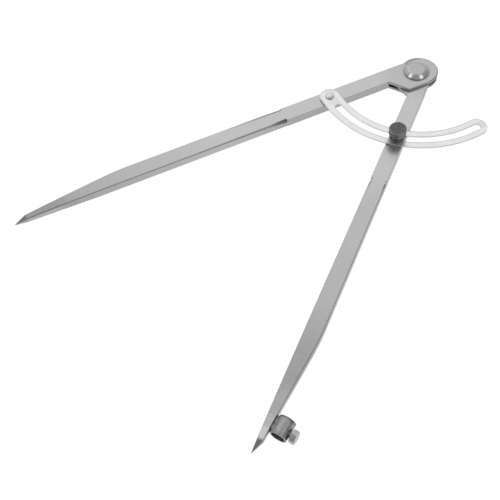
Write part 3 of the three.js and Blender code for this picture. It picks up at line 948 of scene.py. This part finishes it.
# The legs' finish: the runs over which it changes, along a leg or out from the pivot, and the ranges of
# levelness of its sloped, upright and top faces
COARSE_RUN = (150.0, 260.0)
MOTTLE_RUN = (200.0, 280.0)
POINT_RUN = (290.5, 292.5)
NEAR_POINT_RUN = (258.0, 272.0)
NEAR_FORK_RUN = (130.0, 100.0)
HEAD_RUN = (24.0, 20.0)
HEAD_TONE_RUN = (30.0, 16.0)
CONTACT_SHADE_RUN = (10.6, 9.2)
RIVET_FOOT_RUN = (7.8, 8.6)
RIM_SHADE_RUN = (11.0, 11.6)
EDGE_SHADE_START = 0.3
EDGE_SHADE_FULL = 1.0
NOTCH_SHADE_END = 13.0
FAR_SHADE_END = 45.0
FAR_SHADE_START = 0.4
STREAK_TURN = 0.6
SLOPED_FROM = (0.97, 0.93)
SLOPED_TO = (0.45, 0.6)
UPRIGHT = (0.45, 0.3)
TOP_FACE = (0.6, 0.9)

# The grind changes its tone over runs: (from, to, grey level)
NEEDLE_TONES = [(255.0, 272.0, 152)]
PENCIL_TONES = [
    (100.0, 130.0, 178),
    (200.0, 235.0, 160),
    (255.0, 266.0, 177),
    (275.0, 279.0, 190),
    (283.5, 284.5, 208),
]
NEEDLE_MARK = 102.0
PENCIL_MARK = 104.8
FAR_MARK = 10.1


def ground_steel(name, turn, side, tones, notch_mark, far_mark=None):
    """A ground bar: fine lines along it, a coarser cross grind towards the point, a dark point, and stains.
    Painted shade darkens the sloped edges of the head and the edges past the notch mark. A far mark, where
    there is one, paints shade on the leg beyond that distance across it. A crescent of painted shade lies on
    the head's round, and a ring of painted contact shadow lies about the rivet. Painted light lightens the
    head's upright walls and the upright faces near the point, painted shade darkens those near the fork, and
    the point's sloped facets are painted darker than its top, as shade."""
    material, tree, vector = start_material(name, turn)
    grain = grained(tree, vector, grey(189), FINE_GRIND)
    cross = grained(tree, vector, grey(168), CROSS_GRIND)
    split = separate(tree, vector)
    along = times(tree, split["Y"], -1.0)
    across = times(tree, split["X"], side)
    flat = in_plan(tree, vector)
    reach = reckon(tree, "LENGTH", flat)
    level = levelness(tree)

    coarse = over(tree, along, COARSE_RUN)
    color = blend(tree, times(tree, coarse, 0.75), grain["Color"], cross["Color"])
    for *run, tone in tones:
        color = toned(tree, color, over(tree, along, run), 0.8, tone)
    color = toned(tree, color, marks(tree, vector, STAINS), 0.35, 150)
    mottle = times(tree, marks(tree, vector, MOTTLE), over(tree, along, MOTTLE_RUN))
    color = toned(tree, color, mottle, 0.35, 128)
    slanted = add(tree, "ShaderNodeMapping", {"Vector": vector, "Rotation": (0, 0, STREAK_TURN)}).outputs[0]
    color = grained(tree, slanted, color, STREAKS)["Color"]

    at_head = over(tree, reach, HEAD_RUN)
    # Painted shade: the sloped faces at the head and just past the notch mark are darkened, and so, with a
    # far mark, is the leg beyond it past the notch
    sloped = times(tree, remap(tree, level, *SLOPED_FROM), remap(tree, level, *SLOPED_TO))
    past_notch = over(tree, along, (notch_mark, notch_mark + EDGE_SHADE_START))
    notch_fade = over(tree, along, (notch_mark + NOTCH_SHADE_END, notch_mark + EDGE_SHADE_FULL))
    at_notch = times(tree, past_notch, notch_fade)
    scale = times(tree, sloped, calc(tree, "MAXIMUM", at_head, at_notch))
    if far_mark:
        far_fade = over(tree, along, (notch_mark + FAR_SHADE_END, notch_mark + EDGE_SHADE_FULL))
        far_side = over(tree, across, (far_mark, far_mark + FAR_SHADE_START))
        scale = calc(tree, "MAXIMUM", scale, times(tree, far_side, times(tree, past_notch, far_fade)))
    color = toned(tree, color, scale, 0.85, 100)

    # Painted shade: a dark crescent along the outer rim of the head's round
    crescent_middle = (-ROUND_OUT * side * MM, ROUND_BEYOND * MM, 0)
    away = reckon(tree, "SUBTRACT", flat, crescent_middle)
    out = reckon(tree, "LENGTH", away)
    facing = calc(tree, "DIVIDE", times(tree, separate(tree, away)["X"], side), out)
    painted_light_mask = times(tree, over(tree, out, RIM_SHADE_RUN), remap(tree, facing, 0.80, 0.97))
    color = toned(tree, color, painted_light_mask, 0.85, 88)
    # Painted contact shadow: a dark ring on the head about the rivet's foot
    rivet_contact_shade = times(tree, over(tree, reach, CONTACT_SHADE_RUN), over(tree, reach, RIVET_FOOT_RUN))
    color = toned(tree, color, rivet_contact_shade, 0.5, 96)
    color = toned(tree, color, over(tree, reach, HEAD_TONE_RUN), 0.5, 172)

    # Painted light: the head's upright walls are lightened, and made less metallic
    steep = remap(tree, level, *UPRIGHT)
    painted_light_head_wall = times(tree, steep, at_head)
    color = toned(tree, color, painted_light_head_wall, 0.8, 205)
    # The point: lighter on its top, with its sloped facets painted darker as shade
    point_with_painted_shade = blend(tree, remap(tree, level, *TOP_FACE), grey(172), grey(126))
    color = blend(tree, over(tree, along, POINT_RUN), color, point_with_painted_shade)
    # Painted light: upright faces near the point are lightened
    near_point = times(tree, over(tree, along, NEAR_POINT_RUN), over(tree, along, POINT_RUN[::-1]))
    color = toned(tree, color, times(tree, steep, near_point), 0.6, 200)
    # Painted shade: upright faces near the fork are darkened
    near_fork = times(tree, steep, over(tree, along, NEAR_FORK_RUN))
    color = toned(tree, color, near_fork, 0.6, 162)

    roughness = mixed(tree, coarse, grain["Roughness"], cross["Roughness"])
    height = mixed(tree, coarse, grain["Height"], cross["Height"])
    finish_material(tree, color, roughness, height, metallic=remap(tree, painted_light_head_wall, 0.0, 1.0, 1.0, 0.3))
    return material


# The turned steel's painted light on its cone, by its levelness, and the run over which painted shade darkens
# its foot
CONE_SHEEN_SLOPE = (0.98, 0.90)
CONE_FOOT_SHADE_RUN = (7.8, 9.3)


def turned_steel(name):
    """Turned and polished steel: fine rings about the axis, clouds, painted light on the cone, and painted
    shade at its foot.
    """
    material, tree, vector = start_material(name)
    radius = reckon(tree, "LENGTH", in_plan(tree, vector))
    height = separate(tree, vector)["Z"]
    ring_vector = add(tree, "ShaderNodeCombineXYZ", {0: radius, 1: height}).outputs[0]
    grain = grained(tree, ring_vector, grey(173), TURNED_RINGS)
    color = toned(tree, grain["Color"], marks(tree, vector, CLOUDS), 0.3, 160)
    # Painted light: the sloped cone is lightened
    color = toned(tree, color, remap(tree, levelness(tree), *CONE_SHEEN_SLOPE), 0.85, 198)
    # Painted shade: the cone's foot, where it meets the leg, is darkened
    color = toned(tree, color, over(tree, radius, CONE_FOOT_SHADE_RUN), 0.6, 110)
    finish_material(tree, color, grain["Roughness"], grain["Height"])
    return material


# The plating is greyer beside the rims and the slot, over runs from the arc's middle line
RIM_RUN = (ARC_WIDTH / 2 - 1.1, ARC_WIDTH / 2 - 0.1)
SLOT_RUN = (SLOT_WIDTH / 2 + 0.8, SLOT_WIDTH / 2 + 0.1)


def plated_sheet(name):
    """Pale satin plating: nearly white, with faint rolling lines, clouds, small marks and greyer rims."""
    material, tree, vector = start_material(name, OPENING * DEG)
    grain = grained(tree, vector, grey(227), PLATING)
    color = toned(tree, grain["Color"], marks(tree, vector, DULL_SPOTS), 0.4, 200)
    color = toned(tree, color, marks(tree, vector, SMALL_SPOTS), 0.5, 206)
    reach = reckon(tree, "LENGTH", in_plan(tree, vector))
    off_middle = calc(tree, "ABSOLUTE", calc(tree, "SUBTRACT", reach, ARC_RADIUS * MM))
    edges = calc(tree, "MAXIMUM", over(tree, off_middle, RIM_RUN), over(tree, off_middle, SLOT_RUN))
    color = toned(tree, color, edges, 0.5, 208)
    finish_material(tree, color, grain["Roughness"], grain["Height"], strength=0.2)
    return material


# The black screw: its painted sheen on the side and painted highlights on the rims by their levelness, and
# the painted dark reflection band down its side by the bearing of its middle and the range of its cosine
SHEEN_SIDE_RANGE = (0.5, 0.2)
HIGHLIGHT_RIM_FROM = (0.98, 0.93)
HIGHLIGHT_RIM_TO = (0.4, 0.6)
DARK_BAND_BEARING = 8
DARK_BAND_RANGE = (0.94, 0.985)


def blackened_steel(name):
    """Black oxide: dark grey, matt, mottled and pitted, with lighter rubbed patches. Its side is painted
    lighter as sheen in upright streaks, less so in one band that is a painted dark reflection, and its rims
    carry painted highlights."""
    material, tree, vector = start_material(name)
    grain = grained(tree, vector, grey(92), OXIDE)
    color = toned(tree, grain["Color"], marks(tree, vector, RUBBED), 0.7, 126)
    color = toned(tree, color, marks(tree, vector, PITS), 0.6, 62)
    level = levelness(tree)
    # Painted light: the upright side is lightened as a sheen, in upright streaks
    stretched = add(tree, "ShaderNodeMapping", {"Vector": vector, "Scale": (1, 1, 0.12)}).outputs[0]
    painted_light_mask = remap(tree, marks(tree, stretched, SHEEN_STREAKS), 0.0, 1.0, 0.35, 0.9)
    side = times(tree, remap(tree, level, *SHEEN_SIDE_RANGE), painted_light_mask)
    # Painted reflection: a dark band down the side, facing one bearing, keeps less of the sheen
    from_axis = in_plan(tree, reckon(tree, "SUBTRACT", vector, (SCREW_OUT * MM, SCREW_Y * MM, 0)))
    way = reckon(tree, "NORMALIZE", from_axis)
    facing = reckon(tree, "DOT_PRODUCT", way, toward(DARK_BAND_BEARING, 0))
    painted_dark_band = remap(tree, facing, *DARK_BAND_RANGE, 1.0, 0.35)
    color = blend(tree, times(tree, side, painted_dark_band), color, grey(158))
    # Painted highlight: the sloped rims between top and side are lightened
    rim = times(tree, remap(tree, level, *HIGHLIGHT_RIM_FROM), remap(tree, level, *HIGHLIGHT_RIM_TO))
    color = toned(tree, color, rim, 0.6, 170)
    roughness, height = grain["Roughness"], grain["Height"]
    finish_material(tree, color, roughness, height, metallic=0.6, distance=OXIDE_BUMP, strength=0.5)
    return material


# The tube's painted shade towards the leg, and its darker lip, over runs from its middle: towards the leg,
# and along it to the lip nearer the head
LEG_SHADE_RUN = (-4.7, -5.1)
FAR_LIP_RUN = (4.3, 5.0)


def brazed_tube(name):
    """A cut tube darkened by brazing in spots: grey steel, stains, painted shade towards the leg, and a
    darker lip.
    """
    centre = (ring_x * MM, -RING_ALONG * MM, LEG_MIDDLE * MM)
    material, tree, vector = start_material(name, ring_turn * DEG, centre)
    grain = grained(tree, vector, grey(158), DRAWN_TUBE)
    split = separate(tree, vector)
    # Painted shade: tube and braze are darkened on the side towards the leg, where the ring meets it; the lip
    # nearer the head is darker too
    leg_contact_shade = over(tree, split["X"], LEG_SHADE_RUN)
    far_lip = over(tree, split["Y"], FAR_LIP_RUN)
    color = toned(tree, grain["Color"], marks(tree, vector, BURNT_SPOTS), 0.4, 110)
    scale = calc(tree, "MAXIMUM", leg_contact_shade, times(tree, far_lip, 0.7))
    color = toned(tree, color, scale, 0.85, 56)
    finish_material(tree, color, grain["Roughness"], grain["Height"], distance=SCALE_BUMP, strength=0.45)
    return material


# The clamp screw's painted shade on one side: the direction that side faces, and the range of its cosine
SHADED_SIDE = (-0.14, -0.99, 0)
SHADED_SIDE_RANGE = (0.3, 0.8)


def bright_fastener(name):
    """A plain screw: light grey, grainy plating with darker specks, and a little painted shade on its side
    towards the point.
    """
    material, tree, vector = start_material(name)
    grain = grained(tree, vector, grey(190), ZINC)
    color = toned(tree, grain["Color"], marks(tree, vector, SPECKS), 0.5, 120)
    # Painted shade: faces turned towards the point are darkened a little
    normal = tree.nodes.new("ShaderNodeNewGeometry").outputs["Normal"]
    facing = reckon(tree, "DOT_PRODUCT", normal, SHADED_SIDE)
    color = toned(tree, color, remap(tree, facing, *SHADED_SIDE_RANGE), 0.2, 105)
    finish_material(tree, color, grain["Roughness"], grain["Height"], distance=SCALE_BUMP, strength=0.4)
    return material


needle_steel = ground_steel("ground_steel_needle", OPENING * DEG, -1, NEEDLE_TONES, NEEDLE_MARK, FAR_MARK)
pencil_steel = ground_steel("ground_steel_pencil", 0.0, 1, PENCIL_TONES, PENCIL_MARK)
for slot, material, names in (
    ("ground_steel", needle_steel, ["needle_leg_forged"]),
    ("ground_steel", pencil_steel, ["pencil_leg_forged"]),
    ("turned_steel", turned_steel("turned_steel"), ["pivot_rivet_turned", "rivet_burr_turned"]),
    ("plated_sheet", plated_sheet("plated_sheet"), ["quadrant_arc_sheet", "arc_rivet_dome"]),
    ("blackened_steel", blackened_steel("blackened_steel"), ["clamp_washer_turned", "thumb_screw_knurled"]),
    ("brazed_tube", brazed_tube("brazed_tube"), ["pencil_ring_tube", "braze_fillet"]),
    ("bright_fastener", bright_fastener("bright_fastener"), ["pencil_clamp_threaded"]),
):
    for name in names:
        pieces[name].data.materials.append(material)


# Floor, with its strengths as the camera and the metal see it
FLOOR_HALF = 3000.0
FLOOR_DROP = 0.3
PAPER_SHARE = 0.85
SEEN_STRENGTH = 1.08
MIRRORED_STRENGTH = 1.05
SEEN_SHARE = 0.92
MIRRORED_SHARE = 0.8

# The dim room and its bright wall: where the wall's middle lies, how far from it, in degrees, it is full and
# ends, and what it adds
ROOM_LEVEL = 0.44
WALL_TOWARD = (-152, 46)
WALL_FULL = 20
WALL_END = 58
WALL_LEVEL = 0.64

# Lamps
LAMP_TARGET = (-50.0, -120.0, 0.0)
LAMP_SIZE = (340.0, 360.0)
LAMP_POWER = 0.6
LEFT_LAMP = (-607.0, -394.0, 894.0)
RIGHT_LAMP = (715.3, -152.0, 887.0)

# The camera solved from the photograph, with its focal length in the photograph's pixels
CAMERA_BEARING = 30.127 * DEG
CAMERA_ELEVATION = 56.435 * DEG
CAMERA_ROLL = -7.819 * DEG
CAMERA_PLACE = (80.0, -408.44, 400.13)
FOCAL_PIXELS = 756.14
PHOTO_PIXELS = 500
SENSOR = 36
SHIFT = (-0.001, 0.001)
CLIP_START = 10.0


def metres(place):
    """A place in metres from one in millimetres."""
    return np.array(place) * MM


def white_floor():
    """A pale floor that looks white to the camera and in the metal, and still takes a faint shadow."""
    corners = [(-1, -1, 0), (1, -1, 0), (1, 1, 0), (-1, 1, 0)]
    mesh = bpy.data.meshes.new("floor")
    mesh.from_pydata((metres(corners) * FLOOR_HALF).tolist(), [], [(0, 1, 2, 3)])
    floor = in_scene("floor", mesh)
    floor.location.z = -FLOOR_DROP * MM
    material = bpy.data.materials.new("floor_paper")
    tree = emptied(material)
    path = tree.nodes.new("ShaderNodeLightPath").outputs
    paper = add(tree, "ShaderNodeBsdfDiffuse", {"Color": (PAPER_SHARE, PAPER_SHARE, PAPER_SHARE, 1)})
    seen = add(tree, "ShaderNodeEmission", {"Color": (1, 1, 1, 1), "Strength": SEEN_STRENGTH})
    mirrored = add(tree, "ShaderNodeEmission", {"Color": (1, 1, 1, 1), "Strength": MIRRORED_STRENGTH})
    to_camera = times(tree, path["Is Camera Ray"], SEEN_SHARE)
    through_metal = calc(tree, "MAXIMUM", path["Is Glossy Ray"], path["Is Transmission Ray"])
    to_metal = times(tree, through_metal, MIRRORED_SHARE)
    first = add(tree, "ShaderNodeMixShader", {0: to_metal, 1: paper.outputs[0], 2: mirrored.outputs[0]})
    second = add(tree, "ShaderNodeMixShader", {0: to_camera, 1: first.outputs[0], 2: seen.outputs[0]})
    add(tree, "ShaderNodeOutputMaterial", {0: second.outputs[0]})
    mesh.materials.append(material)


def studio_world():
    """White to the camera. For the metal, a dim room with a broad bright wall, whose strength is a remap of
    the cosine of the angle between the direction and the wall's middle."""
    world = bpy.data.worlds.new("studio")
    bpy.context.scene.world = world
    tree = emptied(world)
    path = tree.nodes.new("ShaderNodeLightPath").outputs
    direction = tree.nodes.new("ShaderNodeTexCoord").outputs["Generated"]
    facing = reckon(tree, "DOT_PRODUCT", direction, toward(*WALL_TOWARD))
    wall = remap(tree, facing, math.cos(WALL_END * DEG), math.cos(WALL_FULL * DEG), 0.0, WALL_LEVEL)
    strength = mixed(tree, path["Is Camera Ray"], calc(tree, "ADD", ROOM_LEVEL, wall), 1.0)
    background = add(tree, "ShaderNodeBackground", {"Color": (1, 1, 1, 1), "Strength": strength})
    add(tree, "ShaderNodeOutputWorld", {0: background.outputs[0]})


def soft_box(name, place):
    """An area lamp that faces the lamps' common target."""
    lamp = bpy.data.lights.new(name, "AREA")
    lamp.shape = "RECTANGLE"
    lamp.size, lamp.size_y = metres(LAMP_SIZE)
    lamp.energy = LAMP_POWER
    made = in_scene(name, lamp)
    made.location = metres(place)
    way = made.location - Vector(metres(LAMP_TARGET))
    made.rotation_euler = way.to_track_quat("Z", "Y").to_euler()


def photo_camera():
    """The photograph's camera: it looks back along its bearing and elevation, and rolls about that line."""
    flat = math.cos(CAMERA_ELEVATION)
    back = np.array(
        [math.sin(CAMERA_BEARING) * flat, -math.cos(CAMERA_BEARING) * flat, math.sin(CAMERA_ELEVATION)]
    )
    right = np.array([math.cos(CAMERA_BEARING), math.sin(CAMERA_BEARING), 0])
    up = np.cross(back, right)
    place = np.eye(4)
    place[:3, 0] = math.cos(CAMERA_ROLL) * right + math.sin(CAMERA_ROLL) * up
    place[:3, 1] = math.cos(CAMERA_ROLL) * up - math.sin(CAMERA_ROLL) * right
    place[:3, 2] = back
    place[:3, 3] = metres(CAMERA_PLACE)
    lens = bpy.data.cameras.new("photo_camera")
    lens.sensor_width = SENSOR
    lens.lens = FOCAL_PIXELS / PHOTO_PIXELS * SENSOR
    lens.shift_x, lens.shift_y = SHIFT
    lens.clip_start = CLIP_START * MM
    made = in_scene("photo_camera", lens)
    made.matrix_world = Matrix(place.tolist())
    bpy.context.scene.camera = made


white_floor()
studio_world()
soft_box("left_light", LEFT_LAMP)
soft_box("right_light", RIGHT_LAMP)
photo_camera()
bpy.context.scene.view_settings.view_transform = "Standard"
